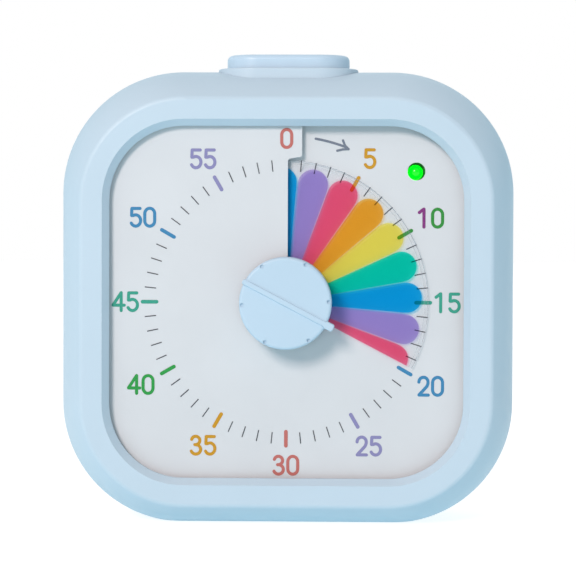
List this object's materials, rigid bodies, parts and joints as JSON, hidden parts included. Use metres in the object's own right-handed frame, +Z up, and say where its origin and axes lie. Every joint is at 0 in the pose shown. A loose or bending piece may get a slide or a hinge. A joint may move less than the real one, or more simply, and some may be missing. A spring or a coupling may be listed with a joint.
{
  "type": "visual countdown timer",
  "caption": "Rounded-square countdown timer with a central knob that uncovers a rainbow disc, a coloured minute dial, a status light, a start button on top and a battery door behind.",
  "frame": {"origin": "on the flat base that the timer stands on, midway across its width, 2 mm in front of the line where the two case shells meet", "axes": "+Z up, -Y towards the viewer (the dial faces -Y), +X to the viewer's right"},
  "size_m": [0.0892, 0.04, 0.0919],
  "materials": {
    "frame_plastic": "satin pale blue ABS",
    "rear_plastic": "fine-textured pale blue ABS",
    "dial_board": "matt off-white printed sheet",
    "rainbow_film": "clear film with a printed rainbow of petals",
    "knob_plastic": "satin pale blue ABS",
    "button_plastic": "satin pale blue ABS",
    "inner_plastic": "moulded natural plastic",
    "gear_plastic": "moulded acetal",
    "black_plastic": "moulded black plastic",
    "steel": "plated steel",
    "screw_steel": "zinc-plated steel",
    "brass": "turned brass",
    "motor_case": "drawn steel can",
    "board": "green solder mask",
    "chip": "black moulded package",
    "led_lens": "lit green lens",
    "cell_jacket": "plain dark jacket"
  },
  "bodies": {
    "case": {"front_frame": "frame_plastic", "rear_case": "rear_plastic", "dial_plate": "dial_board", "gear_motor": "motor_case", "chassis": "inner_plastic", "bearing_plate": "inner_plastic", "small_screws": "screw_steel", "motor_screws": "screw_steel", "case_screws": "screw_steel", "circuit_board": "board", "control_chip": "chip", "board_capacitors": "chip", "status_led": "led_lens", "led_leads": "steel", "start_switch": "black_plastic", "button_collar": "frame_plastic", "buzzer": "black_plastic", "buzzer_pins": "steel", "volume_switch": "steel", "battery_cells": "cell_jacket", "battery_contacts": "steel", "contact_springs": "steel"},
    "knob": {"knob": "knob_plastic", "knob_shaft": "steel", "shaft_clip": "steel", "drive_wheel": "gear_plastic", "clutch_hub": "brass", "clutch_washer": "steel"},
    "film": {"time_film": "rainbow_film", "film_hub": "inner_plastic"},
    "pinion": {"motor_pinion": "brass", "motor_shaft": "steel"},
    "button": {"start_button": "button_plastic", "switch_plunger": "inner_plastic"},
    "volume": {"volume_slider": "button_plastic", "volume_lever": "black_plastic"},
    "door": {"battery_door": "rear_plastic"}
  },
  "joints": [
    {"name": "knob_turn", "type": "hinge", "parent": "case", "child": "knob", "pos_m": [0, -0.018, 0.04345], "axis": [0, 1, 0], "range_deg": [-117.6, 242.4]},
    {"name": "film_rise", "type": "slide", "parent": "knob", "child": "film", "axis": [0, -1, 0], "range_m": [-0.00053, 0.00108]},
    {"name": "pinion_turn", "type": "hinge", "parent": "case", "child": "pinion", "pos_m": [-0.01061, -0.008, 0.03284], "axis": [0, 1, 0], "range_deg": [-970, 471]},
    {"name": "button_press", "type": "slide", "parent": "case", "child": "button", "axis": [0, 0, -1], "range_m": [0, 0.001], "stiffness_N_per_m": 600, "springref_m": -0.0005},
    {"name": "volume_slide", "type": "slide", "parent": "case", "child": "volume", "axis": [1, 0, 0], "range_m": [-0.002, 0.002]},
    {"name": "door_swing", "type": "hinge", "parent": "case", "child": "door", "pos_m": [0, 0.018, 0.0104], "axis": [-1, 0, 0], "range_deg": [0, 80]}
  ],
  "couplings": [
    {"joint": "film_rise", "follows": "knob_turn", "m_per_rad": 0.00025465},
    {"joint": "pinion_turn", "follows": "knob_turn", "ratio": -4}
  ]
}
